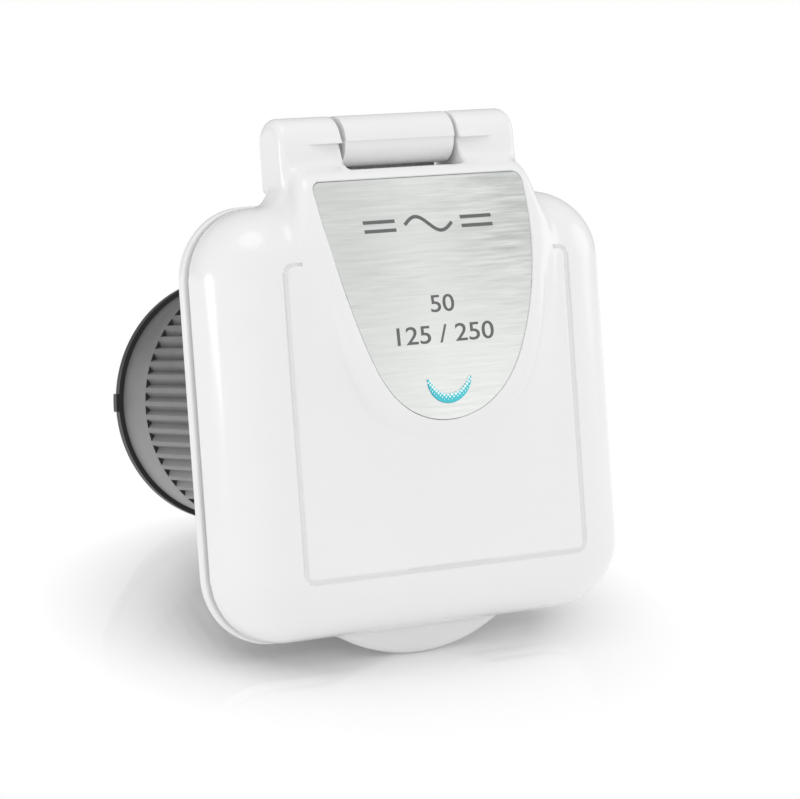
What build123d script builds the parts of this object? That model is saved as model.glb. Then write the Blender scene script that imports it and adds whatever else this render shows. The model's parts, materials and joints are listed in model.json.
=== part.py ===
"""Wall-mounted 50 A power inlet for a caravan, with a sprung lid and a twist-off rear cover.

Row frame: X to the right of somebody facing the inlet, +Y into the wall, +Z up.
The origin is where the barrel's axis meets the wall's outer face, which is the gasket's rear face.
All dimensions are millimetres.
"""
from build123d import *
import math
import os

os.makedirs("parts", exist_ok=True)

# ---- wall side -------------------------------------------------------------------------------
FLANGE_HALF_W = 65.0
FLANGE_LOW, FLANGE_HIGH = -64.1, 58.4
FLANGE_CORNER = 20.6
GASKET_T = 1.5
GASKET_INSET = 1.0
WALL_HOLE_R = 40.0
FLANGE_T = 2.5
FLANGE_FRONT = -(GASKET_T + FLANGE_T)
SCREW_HALF_X, SCREW_HALF_Z = 48.0, 47.0
SCREW_HOLE_R = 2.4
SCREW_PAD_R = 5.4
SCREW_PAD_H = 1.2

# ---- lid -------------------------------------------------------------------------------------
LID_HALF_W = 64.0
LID_LOW, LID_HIGH = -63.5, 57.8
LID_CORNER = 20.0
LID_REAR = -5.0
LID_PANEL = -27.5
LID_EDGE_R = 19.0
LID_WALL = 2.5
GROOVE_HALF_W = 45.0
GROOVE_LOW, GROOVE_HIGH = -45.9, 41.4
GROOVE_W, GROOVE_DEPTH = 1.0, 0.6
GROOVE_HOOK_X = 40.3
TAB_R, TAB_CENTRE_Z, TAB_T = 49.0, -22.5, 2.6

# The raised shoulder on the lid: half outlines (x, z) at its foot and at its crown, and the
# crown's side profile (y, z), which the steel plate follows.
FOOT_OUTLINE = [(0, -32.0), (17.5, -25.5), (30.0, -8.5), (36.8, 17.0), (39.3, 48.0)]
CROWN_OUTLINE = [(0, -13.8), (17.5, -8.2), (27.8, 4.5), (34.2, 24.0), (37.4, 48.0)]
OUTLINE_TOP_X = 36.5
SHOULDER_TOP = 67.5
TOP_ROUNDING = 1.6
CROWN_FOOT_Y = -31.6
CROWN_PROFILE = [(-31.6, -13.8), (-33.5, -4.2), (-34.6, 16.0), (-31.4, 40.8), (-24.4, 63.0)]
PLATE_OUTLINE = [(0, -4.3), (10.6, -1.8), (17.6, 3.6), (25.6, 18.3), (31.4, 40.8)]
PLATE_TOP_X, PLATE_TOP = 33.4, 63.4
PLATE_CORNER = 2.4
PLATE_T = 0.8
PLATE_SUNK = 0.2
PLATE_GAP = 0.25

LINER_FRONT, LINER_REAR = -24.4, -22.6
LINER_HALF_W, LINER_LOW, LINER_HIGH, LINER_CORNER = 46.0, -46.5, 41.5, 9.0
LINER_SCREW_X, LINER_SCREW_LOW, LINER_SCREW_HIGH = 41.0, -41.5, 36.5
LINER_BOSS_R, SMALL_SCREW_R = 4.0, 1.2
SEAL_OUTER_R, SEAL_INNER_R = 31.0, 26.6
LENS_Z, LENS_ROD_R, LENS_DISC_Y, LENS_DISC_R = 6.4, 3.2, -30.8, 7.2
CRESCENT_Z, CRESCENT_R, CRESCENT_RISE = 7.2, 7.0, 2.2

# ---- lid hinge -------------------------------------------------------------------------------
HINGE_Y, HINGE_Z = -9.0, 74.6
EAR_R = 7.5
EAR_HALF_W = 38.0
EAR_BOTTOM = 61.5
NOTCH_HALF_W = 18.9
NOTCH_BOTTOM = 66.6
KNUCKLE_HALF_W = 17.5
KNUCKLE_STEP = 0.5
KNUCKLE_WEB = 2.2
SPRING_POCKET_R = 5.2
PIN_R = 1.75
PIN_CLEARANCE = 0.05
PIN_HALF_LEN = 33.0
SPRING_COIL_R = 3.3
SPRING_WIRE_R = 0.5
SPRING_TURNS, SPRING_SPACE, SPRING_FIRST_X = 8.0, 0.5, 2.0
SPRING_LEG_SWEEP = 112.0
LEG_REST_DEG, LEG_SLACK_DEG = 90.0, 12.0
LEG_HOLE_DEPTH = 3.2

# ---- socket ----------------------------------------------------------------------------------
COLLAR_R, COLLAR_BORE_R = 30.6, 27.2
COLLAR_FRONT, COLLAR_REAR = -19.0, 20.0
COLLAR_SHOULDER_R = 34.4
COLLAR_SHOULDER_REAR = 1.5
THREAD_CREST_R = 32.0
THREAD_PITCH = 3.6
THREAD_TURNS = 3
CARRIER_FACE, CARRIER_REAR = 14.0, 24.0
BLADE_R, BLADE_T = 19.0, 1.8
BLADE_TIP, BLADE_END = -6.0, 28.0
GROUND_R, GROUND_TIP = 3.2, -8.5
BLADES = {"line_1": (90.0, 19.0), "line_2": (210.0, 19.0), "neutral": (330.0, 24.0)}
TERMINAL_W, TERMINAL_H = 14.0, 9.0
BLOCK_REAR = 40.0
WIRE_BORE_R, WIRE_ALONG = 3.3, -3.2
CLAMP_SCREW_R, SCREW_ALONG = 1.6, 3.6
LED_Z, LED_R, LED_TIP = 9.6, 2.5, 11.0

# ---- rear barrel -----------------------------------------------------------------------------
HOUSING_R, HOUSING_BORE_R = 34.4, 31.0
HOUSING_REAR = 34.0
HOUSING_SCREW_R, HOUSING_SCREW_RING_R = 1.1, 32.9
SEAL_Y, SEAL_SECTION_R, SEAL_RING_R = 29.4, 1.15, 33.5
COVER_FRONT, RIB_END, BAND_END = 1.8, 83.0, 104.0
RIB_COUNT, RIB_CREST_R, RIB_DEPTH, RIB_GROOVE_W = 60, 39.0, 1.6, 2.8
BAND_REAR_R = 36.75
COVER_BORE_R, COVER_REAR_BORE_R = 35.0, 33.6
LUG_ANGLES = (30.0, 150.0, 270.0)
LUG_HALF_DEG, LUG_R = 6.0, 35.8
LUG_Y = (22.0, 25.0)
CHANNEL_R = 36.15
TWIST_DEG = 25.0
CAP_R, CAP_REAR = 38.25, 107.1
CAP_SCREW_R, CAP_SCREW_ANGLES = 29.2, (90.0, 210.0, 330.0)
CAP_SCREW_SHANK_R = 1.45
STEM_R, STEM_BORE_R, STEM_REAR = 19.2, 17.0, 120.0
CABLE_R = 13.5
NUT_R, NUT_BORE_R = 23.5, 19.5
NUT_FRONT, NUT_REAR = 109.0, 126.0
NUT_RIBS = 24

GAP = 0.1      # clearance between pieces that are fastened together
MOVING = 0.4   # clearance between faces that slide past each other


# ---- helpers ---------------------------------------------------------------------------------
def slab(sketch, y_rear, y_front):
    """Extrude a sketch drawn in X and Z from y_rear forward to y_front."""
    return extrude(Plane.XZ.offset(-y_rear) * sketch, amount=y_rear - y_front)


def bar(sketch, x_left, x_right):
    """Extrude a sketch drawn in Y and Z from x_left to x_right."""
    return extrude(Plane.YZ.offset(x_left) * sketch, amount=x_right - x_left)


def ring(r_out, r_in, y_rear, y_front):
    """A plain tube round the barrel's axis."""
    return slab(Circle(r_out) - Circle(r_in), y_rear, y_front)


def polar(r, deg):
    """X and Z of a point at radius r and an angle from +X towards +Z."""
    return r * math.cos(math.radians(deg)), r * math.sin(math.radians(deg))


def rounded(half_w, low, high, corner):
    """A rounded rectangle in X and Z."""
    return Pos(0, (low + high) / 2) * RectangleRounded(2 * half_w, high - low, corner)


def sector(r_out, r_in, centre_deg, half_deg):
    """A curved strip of a ring, as a sketch in X and Z."""
    first, last = centre_deg - half_deg, centre_deg + half_deg
    outer = CenterArc((0, 0), r_out, first, last - first)
    inner = CenterArc((0, 0), r_in, first, last - first)
    ends = Line(inner @ 0, outer @ 0) + Line(inner @ 1, outer @ 1)
    return make_face([outer, inner] + ends.edges())


def grow_outline(points, amount):
    """Move a half outline's points outwards, square to the line through their neighbours."""
    last = len(points) - 1
    moved = []
    for i, (x, z) in enumerate(points):
        ahead_x, ahead_z = points[min(i + 1, last)]
        back_x, back_z = points[i - 1] if i else (-ahead_x, ahead_z)
        length = math.hypot(ahead_x - back_x, ahead_z - back_z)
        step_x = amount * (ahead_z - back_z) / length
        step_z = -amount * (ahead_x - back_x) / length
        moved.append((x + step_x, z + step_z))
    return moved


def shield(points, top_x, top_z, grow=0.0):
    """A face symmetric about Z: its right side is a smooth curve through points to its top corner."""
    corner = (top_x + grow, top_z + grow)
    side = [*grow_outline(points, grow), corner]
    right = Spline(*side, tangents=[(1, 0), (0, 1)], tangent_scalars=[1, 1])
    left = mirror(right, about=Plane.YZ)
    top = Line(right @ 1, left @ 1)
    return make_face(right.edges() + left.edges() + top.edges())


def screw(x, z, seat_y, length, shank_r, towards):
    """A cross-recessed pan-head screw seated at seat_y, with its shank pointing to +Y or -Y."""
    head_r, head_h = 1.95 * shank_r, 1.3 * shank_r
    head = slab(Circle(head_r), head_h, 0)
    head = fillet(head.edges().group_by(Axis.Y)[-1], 0.55 * head_h)
    slot = Box(1.3 * head_r, head_h, 0.36 * shank_r) + Box(0.36 * shank_r, head_h, 1.3 * head_r)
    head -= Pos(0, 0.9 * head_h, 0) * slot
    body = head + slab(Circle(shank_r), 0, -length)
    if towards > 0:
        body = Rot(180, 0, 0) * body
    return Pos(x, seat_y, z) * body


# ---- wall side pieces ------------------------------------------------------------------------
def screw_places():
    """Where the four wall screws go, as X and Z."""
    return [(sx * SCREW_HALF_X, sz * SCREW_HALF_Z) for sx in (-1, 1) for sz in (-1, 1)]


def wall_gasket():
    outline = rounded(
        FLANGE_HALF_W - GASKET_INSET,
        FLANGE_LOW + GASKET_INSET,
        FLANGE_HIGH - GASKET_INSET,
        FLANGE_CORNER - GASKET_INSET,
    )
    outline -= Circle(WALL_HOLE_R)
    for x, z in screw_places():
        outline -= Pos(x, z) * Circle(SCREW_HOLE_R)
    return slab(outline, 0, -GASKET_T)


def knuckle():
    """The central hinge knuckle: a leaf up from the flange, with a pocket for the springs."""
    upper = Circle(EAR_R)
    lower = Circle(EAR_R - KNUCKLE_STEP)
    below_axis = Pos(0, -EAR_R) * Rectangle(2.2 * EAR_R, 2 * EAR_R)
    section = Pos(HINGE_Y, HINGE_Z) * ((upper - below_axis) + lower)
    leaf_low = FLANGE_HIGH - 3.0
    leaf = Pos(FLANGE_FRONT + FLANGE_T / 2, (leaf_low + HINGE_Z) / 2) * Rectangle(
        FLANGE_T, HINGE_Z - leaf_low
    )
    body = bar(section + leaf, -KNUCKLE_HALF_W, KNUCKLE_HALF_W)
    pocket_half = KNUCKLE_HALF_W - KNUCKLE_WEB
    pocket = Pos(HINGE_Y, HINGE_Z) * Circle(SPRING_POCKET_R)
    mouth = Pos(HINGE_Y + EAR_R, HINGE_Z) * Rectangle(2 * EAR_R, 2 * SPRING_POCKET_R)
    body -= bar(pocket + mouth, -pocket_half, pocket_half)
    pin_hole = Pos(HINGE_Y, HINGE_Z) * Circle(PIN_R + GAP)
    body -= bar(pin_hole, -KNUCKLE_HALF_W, KNUCKLE_HALF_W)
    # Curved slots in both webs, for the spring legs that turn with the lid.
    half_slot = SPRING_WIRE_R + MOVING
    middle = LEG_REST_DEG - SPRING_LEG_SWEEP / 2
    half_sweep = SPRING_LEG_SWEEP / 2 + LEG_SLACK_DEG
    slot = sector(SPRING_COIL_R + half_slot, SPRING_COIL_R - half_slot, middle, half_sweep)
    return body - bar(Pos(HINGE_Y, HINGE_Z) * slot, -KNUCKLE_HALF_W, KNUCKLE_HALF_W)


def base_plate():
    """The white flange against the wall, with the hinge knuckle at its top."""
    outline = rounded(FLANGE_HALF_W, FLANGE_LOW, FLANGE_HIGH, FLANGE_CORNER)
    body = slab(outline, -GASKET_T, FLANGE_FRONT)
    body = fillet(body.edges().group_by(Axis.Y)[0], 0.8)
    body += slab(Circle(COLLAR_SHOULDER_R + 3.6), FLANGE_FRONT, FLANGE_FRONT - 2.0)
    for x, z in screw_places():
        body += slab(Pos(x, z) * Circle(SCREW_PAD_R), FLANGE_FRONT, FLANGE_FRONT - SCREW_PAD_H)
    body += knuckle()
    body -= slab(Circle(COLLAR_R + GAP), 0, -30)
    for x, z in screw_places():
        body -= slab(Pos(x, z) * Circle(SCREW_HOLE_R), 0, -30)
    for x, z in housing_screw_places():
        body -= slab(Pos(x, z) * Circle(HOUSING_SCREW_R + GAP), 0, -30)
    return body


def hinge_pin():
    rod = bar(Pos(HINGE_Y, HINGE_Z) * Circle(PIN_R), -PIN_HALF_LEN, PIN_HALF_LEN)
    return chamfer(rod.edges().filter_by(GeomType.CIRCLE), 0.4)


def hinge_spring(side):
    """One of the two torsion springs wound round the pin inside the knuckle."""
    pitch = 2 * SPRING_WIRE_R + SPRING_SPACE
    helix = Helix(pitch, SPRING_TURNS * pitch, SPRING_COIL_R, direction=(1, 0, 0))
    helix = Pos(SPRING_FIRST_X, HINGE_Y, HINGE_Z) * helix
    section = Plane(helix @ 0, z_dir=helix % 0) * Circle(SPRING_WIRE_R)
    body = sweep(section, path=helix, is_frenet=True)
    return body if side > 0 else mirror(body, about=Plane.YZ)


# ---- socket pieces ---------------------------------------------------------------------------
def housing_screw_places():
    """Where the screws go that clamp flange, collar and housing together, as X and Z."""
    return [polar(HOUSING_SCREW_RING_R, 60.0 * k) for k in range(6)]


def socket_collar():
    """The white collar that the cord set's locking ring screws onto, with its rear shoulder."""
    body = ring(COLLAR_R, COLLAR_BORE_R, COLLAR_REAR, COLLAR_FRONT)
    body += ring(COLLAR_SHOULDER_R, COLLAR_BORE_R, COLLAR_SHOULDER_REAR, -GASKET_T)
    for turn in range(THREAD_TURNS):
        crest = COLLAR_FRONT + 2.0 + turn * THREAD_PITCH
        body += ring(THREAD_CREST_R, COLLAR_R - 0.5, crest + 1.4, crest)
    mouth = body.edges().group_by(Axis.Y)[0]
    body = fillet(mouth, 0.7)
    for x, z in housing_screw_places():
        body -= slab(Pos(x, z) * Circle(HOUSING_SCREW_R + GAP), 10, -10)
    for x, z in carrier_screw_places():
        body -= slab(Pos(x, z) * Circle(SMALL_SCREW_R + GAP), 30, 11)
    return body


def carrier_screw_places():
    """Where the long screws go that hold the carrier and the block to the collar."""
    return [polar((COLLAR_R + COLLAR_BORE_R) / 2, a) for a in (30.0, 150.0, 270.0)]


def contact_carrier():
    """The insulating disc at the bottom of the socket that the contacts pass through."""
    body = slab(Circle(COLLAR_BORE_R - GAP), CARRIER_REAR, CARRIER_FACE)
    body += slab(Circle(COLLAR_R), CARRIER_REAR, COLLAR_REAR + 0.05)
    body = fillet(body.edges().group_by(Axis.Y)[0], 0.6)
    for angle, half in BLADES.values():
        slot = sector(BLADE_R + BLADE_T / 2 + GAP, BLADE_R - BLADE_T / 2 - GAP, angle, half + 0.4)
        body -= slab(slot, 40, 0)
    body -= slab(Circle(GROUND_R + GAP), 40, 0)
    body -= slab(Pos(0, LED_Z) * Circle(LED_R + GAP), 40, 0)
    body -= slab(Pos(0, LED_Z) * Rectangle(11.4, 6.2), 40, CARRIER_REAR - 2.0)
    for x, z in carrier_screw_places():
        body -= slab(Pos(x, z) * Circle(SMALL_SCREW_R + GAP), 40, 0)
    return body


def blade(name):
    """A curved brass blade whose tip is notched for the plug's twist lock."""
    angle, half = BLADES[name]
    outer, inner = BLADE_R + BLADE_T / 2, BLADE_R - BLADE_T / 2
    body = slab(sector(outer, inner, angle, half), BLADE_END, BLADE_TIP)
    body = chamfer(body.edges().group_by(Axis.Y)[0], 0.4)
    notch_half = 4.0
    notch = sector(outer + 1, inner - 1, angle + half - notch_half, notch_half + 0.5)
    return body - slab(notch, BLADE_TIP + 8.0, BLADE_TIP + 4.0)


def ground_pin():
    rod = slab(Circle(GROUND_R), BLADE_END, GROUND_TIP)
    return fillet(rod.edges().group_by(Axis.Y)[0], 1.6)


def terminal_places():
    """Each terminal's centre radius and angle, keyed by the contact it serves."""
    places = {name: (BLADE_R, angle) for name, (angle, _) in BLADES.items()}
    places["ground"] = (0.0, 90.0)
    return places


def terminal_sketch(name, grow=0.0):
    """The outline of one terminal in X and Z, turned to lie along its blade."""
    radius, angle = terminal_places()[name]
    x, z = polar(radius, angle)
    return Pos(x, z) * Rot(0, 0, angle - 90) * Rectangle(TERMINAL_W + 2 * grow, TERMINAL_H + 2 * grow)


def terminal_point(name, along):
    """X and Z of a point along a terminal's long side, measured from its centre."""
    radius, angle = terminal_places()[name]
    x, z = polar(radius, angle)
    dx, dz = polar(along, angle - 90)
    return x + dx, z + dz


def terminal(name):
    """A brass clamp terminal: one bore for the wire, and one tapped hole for its screw."""
    body = slab(terminal_sketch(name), BLOCK_REAR - 0.5, BLADE_END)
    wire = Pos(*terminal_point(name, WIRE_ALONG)) * Circle(WIRE_BORE_R)
    body -= slab(wire, BLOCK_REAR, BLADE_END + 2.5)
    tapped = Pos(*terminal_point(name, SCREW_ALONG)) * Circle(CLAMP_SCREW_R + GAP)
    return body - slab(tapped, BLOCK_REAR, BLADE_END + 1.0)


def terminal_block():
    """The insulating block that holds the four terminals behind the carrier."""
    body = slab(Circle(HOUSING_BORE_R - 0.4), BLOCK_REAR, CARRIER_REAR)
    body = fillet(body.edges().group_by(Axis.Y)[-1], 0.8)
    for name, (angle, half) in BLADES.items():
        slot = sector(BLADE_R + BLADE_T / 2 + GAP, BLADE_R - BLADE_T / 2 - GAP, angle, half + 0.4)
        body -= slab(slot, BLADE_END, CARRIER_REAR - 1)
    body -= slab(Circle(GROUND_R + GAP), BLADE_END, CARRIER_REAR - 1)
    for name in terminal_places():
        body -= slab(terminal_sketch(name, GAP), BLOCK_REAR + 1, BLADE_END)
    for x, z in carrier_screw_places():
        body -= slab(Pos(x, z) * Circle(SMALL_SCREW_R + GAP), BLOCK_REAR + 1, 0)
    return body


def terminal_screws():
    """One clamp screw in each terminal."""
    places = [terminal_point(name, SCREW_ALONG) for name in terminal_places()]
    return Compound([screw(x, z, BLOCK_REAR - 0.5, 10.0, CLAMP_SCREW_R, -1) for x, z in places])


def carrier_screws():
    """Three long screws from the block's rear face into the collar."""
    length = BLOCK_REAR - 12.0
    places = carrier_screw_places()
    return Compound([screw(x, z, BLOCK_REAR, length, SMALL_SCREW_R, -1) for x, z in places])


def indicator_led():
    """The lamp behind the lid's lens, set in the carrier's face."""
    body = slab(Pos(0, LED_Z) * Circle(LED_R), CARRIER_REAR - 2.0, LED_TIP)
    return fillet(body.edges().group_by(Axis.Y)[0], LED_R - 0.1)


def indicator_board():
    """The lamp's small circuit board, in a recess behind the carrier."""
    return slab(Pos(0, LED_Z) * Rectangle(11.0, 5.8), CARRIER_REAR - 0.1, CARRIER_REAR - 1.9)


# ---- rear barrel pieces ----------------------------------------------------------------------
def rear_housing():
    """The dark inner barrel behind the flange, with three lugs and a groove for its seal."""
    body = ring(HOUSING_R, HOUSING_BORE_R, HOUSING_REAR, COLLAR_SHOULDER_REAR)
    for angle in LUG_ANGLES:
        lug = sector(LUG_R, HOUSING_R - 0.6, angle, LUG_HALF_DEG)
        body += slab(lug, LUG_Y[1], LUG_Y[0])
    half = SEAL_SECTION_R + GAP
    groove = ring(HOUSING_R + 1, SEAL_RING_R - half, SEAL_Y + half, SEAL_Y - half)
    body -= groove
    for x, z in housing_screw_places():
        body -= slab(Pos(x, z) * Circle(HOUSING_SCREW_R + GAP), 15, 0)
    return body


def housing_screws():
    """Six screws through flange and collar into the housing."""
    seat = FLANGE_FRONT - 2.0
    return Compound([screw(x, z, seat, 19.0, HOUSING_SCREW_R, 1) for x, z in housing_screw_places()])


def cover_seal():
    """The rubber ring between the housing and the twist-off cover."""
    section = Pos(SEAL_RING_R, SEAL_Y) * Circle(SEAL_SECTION_R)
    return revolve(Plane.XY * section, axis=Axis.Y)


def ribbed_outline():
    """The barrel's cross-section: lands with a V-shaped groove between each pair."""
    pitch = 360.0 / RIB_COUNT
    half_groove = math.degrees(RIB_GROOVE_W / 2 / RIB_CREST_R)
    points = []
    for k in range(RIB_COUNT):
        valley = k * pitch
        points.append(polar(RIB_CREST_R - RIB_DEPTH, valley))
        points.append(polar(RIB_CREST_R, valley + half_groove))
        points.append(polar(RIB_CREST_R, valley + pitch - half_groove))
    return Polygon(*points, align=None)


def rear_cover():
    """The ribbed cover over the wiring, turned by hand to lock on the housing's lugs."""
    body = slab(ribbed_outline(), RIB_END, COVER_FRONT)
    band = Polyline(
        (0, RIB_END), (RIB_CREST_R, RIB_END), (BAND_REAR_R, BAND_END), (0, BAND_END), close=True
    )
    body += revolve(make_face(band), axis=Axis.Y)
    body -= slab(Circle(COVER_BORE_R), HOUSING_REAR + 8.0, 0)
    body -= slab(Circle(COVER_REAR_BORE_R), BAND_END + 1, 0)
    for angle in CAP_SCREW_ANGLES:
        boss = Pos(*polar(CAP_SCREW_R, angle)) * Circle(3.4)
        tie_x, tie_z = polar(CAP_SCREW_R + 3.0, angle)
        tie = Pos(tie_x, tie_z) * Rot(0, 0, angle) * Rectangle(6.0, 5.0)
        body += slab(boss + tie, BAND_END, BAND_END - 16.0)
        hole = Pos(*polar(CAP_SCREW_R, angle)) * Circle(CAP_SCREW_SHANK_R + GAP)
        body -= slab(hole, BAND_END + 1, BAND_END - 14.0)
    slack = 1.0
    for angle in LUG_ANGLES:
        half = LUG_HALF_DEG + slack
        run = sector(CHANNEL_R, COVER_BORE_R - 1, angle + TWIST_DEG / 2, half + TWIST_DEG / 2)
        body -= slab(run, LUG_Y[1] + MOVING, LUG_Y[0] - MOVING)
        entry = sector(CHANNEL_R, COVER_BORE_R - 1, angle + TWIST_DEG, half)
        body -= slab(entry, LUG_Y[1] + MOVING, 0)
    return body


def rear_end_cap():
    """The disc that closes the barrel, with a finger lug and the threaded cable stem."""
    body = slab(Circle(CAP_R), CAP_REAR, BAND_END)
    body = fillet(body.edges().filter_by(GeomType.CIRCLE).group_by(Axis.Y)[-1], 0.8)
    body += slab(sector(CAP_R + 0.7, CAP_R - 3, 177.0, 4.1), CAP_REAR - 0.4, BAND_END + 0.4)
    body += ring(STEM_R, STEM_BORE_R, STEM_REAR, CAP_REAR)
    body -= slab(Circle(CABLE_R + 0.4), CAP_REAR + 1, BAND_END - 1)
    body -= slab(Circle(STEM_BORE_R), STEM_REAR + 1, CAP_REAR - 1.0)
    for angle in CAP_SCREW_ANGLES:
        hole = Pos(*polar(CAP_SCREW_R, angle)) * Circle(CAP_SCREW_SHANK_R + GAP)
        body -= slab(hole, CAP_REAR + 1, BAND_END - 1)
    return body


def end_cap_screws():
    """Three screws that hold the end cap to the cover."""
    places = [polar(CAP_SCREW_R, a) for a in CAP_SCREW_ANGLES]
    return Compound([screw(x, z, CAP_REAR, 15.0, CAP_SCREW_SHANK_R, -1) for x, z in places])


def gland_seal():
    """The rubber bush that the nut squeezes onto the cable."""
    front, rear = CAP_REAR - 0.95, STEM_REAR + 2.2
    outer = STEM_BORE_R - GAP
    profile = Polyline(
        (CABLE_R, front),
        (outer, front),
        (outer, STEM_REAR - 1.0),
        (outer - 2.0, rear),
        (CABLE_R, rear),
        close=True,
    )
    return revolve(make_face(profile), axis=Axis.Y)


def gland_nut():
    """The ribbed nut that tightens the cable seal."""
    body = slab(Circle(NUT_R), NUT_REAR, NUT_FRONT)
    body = chamfer(body.edges().group_by(Axis.Y)[-1], 1.5)
    for k in range(NUT_RIBS):
        x, z = polar(NUT_R + 0.7, 360.0 * k / NUT_RIBS)
        body -= slab(Pos(x, z) * Circle(1.6), NUT_REAR - 3.0, NUT_FRONT - 1)
    body -= slab(Circle(NUT_BORE_R), STEM_REAR + 2.8, NUT_FRONT - 1)
    body -= slab(Circle(CABLE_R + 0.8), NUT_REAR + 1, NUT_FRONT)
    return body


# ---- lid pieces ------------------------------------------------------------------------------
def crown_band(behind, in_front):
    """The solid between two copies of the crown's side profile, shifted along Y."""
    def line(shift):
        low, high = CROWN_PROFILE[0], CROWN_PROFILE[-1]
        curve = Spline(*[(y + shift, z) for y, z in CROWN_PROFILE])
        tail = Line((low[0] + shift, low[1] - 30), (low[0] + shift, low[1]))
        head = Line((high[0] + shift, high[1]), (high[0] + shift + 1.5, high[1] + 4.2))
        return tail, curve, head
    front, rear = line(-in_front), line(behind)
    ends = [Line(front[0] @ 0, rear[0] @ 0), Line(front[2] @ 1, rear[2] @ 1)]
    edges = [e for part in (*front, *rear, *ends) for e in part.edges()]
    return bar(make_face(edges), -60, 60)


def plate_face(grow=0.0):
    """The steel plate's outline in X and Z."""
    face = shield(PLATE_OUTLINE, PLATE_TOP_X, PLATE_TOP, grow)
    return fillet(face.vertices().group_by(Axis.Y)[-1], PLATE_CORNER + grow)


def crescent(grow=0.0):
    """The lens's smile-shaped outline, thick at the bottom."""
    outer = Pos(0, CRESCENT_Z) * Circle(CRESCENT_R + grow)
    inner = Pos(0, CRESCENT_Z + CRESCENT_RISE) * Circle(CRESCENT_R - 0.4 - grow)
    above = Pos(0, CRESCENT_Z + 10.0 + grow / 2) * Rectangle(30, 20)
    return outer - inner - above


def shoulder():
    """The raised shoulder that runs down from the hinge and carries the steel plate."""
    foot_face = shield(FOOT_OUTLINE, OUTLINE_TOP_X, SHOULDER_TOP)
    crown_face = shield(CROWN_OUTLINE, OUTLINE_TOP_X, SHOULDER_TOP)
    foot = slab(foot_face, LID_REAR - 6.0, LID_PANEL)
    low = Plane.XZ.offset(-LID_PANEL) * foot_face
    high = Plane.XZ.offset(-CROWN_FOOT_Y) * crown_face
    crown = slab(crown_face, CROWN_FOOT_Y, CROWN_FOOT_Y - 6)
    return (foot + loft([low, high]) + crown) & lid_side_profile()


def lid_side_profile():
    """What the lid may fill, seen from the side: everything behind the crown and over its top."""
    low, high = CROWN_PROFILE[0], CROWN_PROFILE[-1]
    curve = Spline(*CROWN_PROFILE)
    top = SagittaArc(high, (HINGE_Y - EAR_R, SHOULDER_TOP), TOP_ROUNDING)
    box = Polyline(
        (HINGE_Y - EAR_R, SHOULDER_TOP),
        (0, SHOULDER_TOP),
        (0, low[1] - 80),
        (low[0], low[1] - 80),
        low,
    )
    return bar(make_face(curve.edges() + top.edges() + box.edges()), -80, 80)


def panel_groove():
    """The thin square line pressed into the lid, open where the shoulder crosses it."""
    half = GROOVE_W / 2
    outer = rounded(GROOVE_HALF_W + half, GROOVE_LOW - half, GROOVE_HIGH + half, 3.0)
    inner = rounded(GROOVE_HALF_W - half, GROOVE_LOW + half, GROOVE_HIGH - half, 2.0)
    gap = Pos(0, GROOVE_HIGH) * Rectangle(2 * GROOVE_HOOK_X, 6)
    return slab(outer - inner - gap, LID_PANEL + GROOVE_DEPTH, LID_PANEL - 1)


def lid_ears():
    """The two hinge ears and the block that joins them to the lid."""
    front = HINGE_Y - EAR_R
    block_low = LID_HIGH - 12
    block = Pos((front + LID_REAR) / 2, (block_low + HINGE_Z) / 2) * Rectangle(
        LID_REAR - front, HINGE_Z - block_low
    )
    ear = Pos(HINGE_Y, (EAR_BOTTOM + HINGE_Z) / 2) * Rectangle(2 * EAR_R, HINGE_Z - EAR_BOTTOM)
    barrel = Pos(HINGE_Y, HINGE_Z) * Circle(EAR_R)
    body = bar(barrel + block + ear, -EAR_HALF_W, EAR_HALF_W)
    return fillet(body.edges().group_by(Axis.X)[0] + body.edges().group_by(Axis.X)[-1], 2.0)


def lid_cavity():
    """The hollow of the lid behind its front wall."""
    floor = LID_PANEL + LID_WALL
    outline = rounded(
        LID_HALF_W - LID_WALL, LID_LOW + LID_WALL, LID_HIGH - LID_WALL, LID_CORNER - LID_WALL
    )
    body = slab(outline, LID_REAR + 1, floor)
    return fillet(body.edges().group_by(Axis.Y)[0], LID_EDGE_R - LID_WALL)


def crown_pocket():
    """The hollow behind the steel plate, which houses the lens."""
    face = shield(CROWN_OUTLINE, OUTLINE_TOP_X, SHOULDER_TOP, -5.0)
    below = Pos(0, 21.0) * Rectangle(90, 50.0)
    reach = slab(face & below, LID_PANEL + LID_WALL + 1, CROWN_FOOT_Y - 6)
    return reach - crown_band(PLATE_T + PLATE_SUNK + 2.0, 20.0)


def lens_rod():
    """The rod that carries the lamp's light from the lid's rear, and the disc it ends in."""
    rod = slab(Pos(0, LENS_Z) * Circle(LENS_ROD_R), LINER_REAR + 0.5, LENS_DISC_Y)
    return rod + slab(Pos(0, LENS_Z) * Circle(LENS_DISC_R), LENS_DISC_Y + 1.8, LENS_DISC_Y)


def liner_boss_places():
    """Where the screws go that hold the lid's liner, as X and Z."""
    return [(sx * LINER_SCREW_X, z) for sx in (-1, 1) for z in (LINER_SCREW_LOW, LINER_SCREW_HIGH)]


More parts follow.
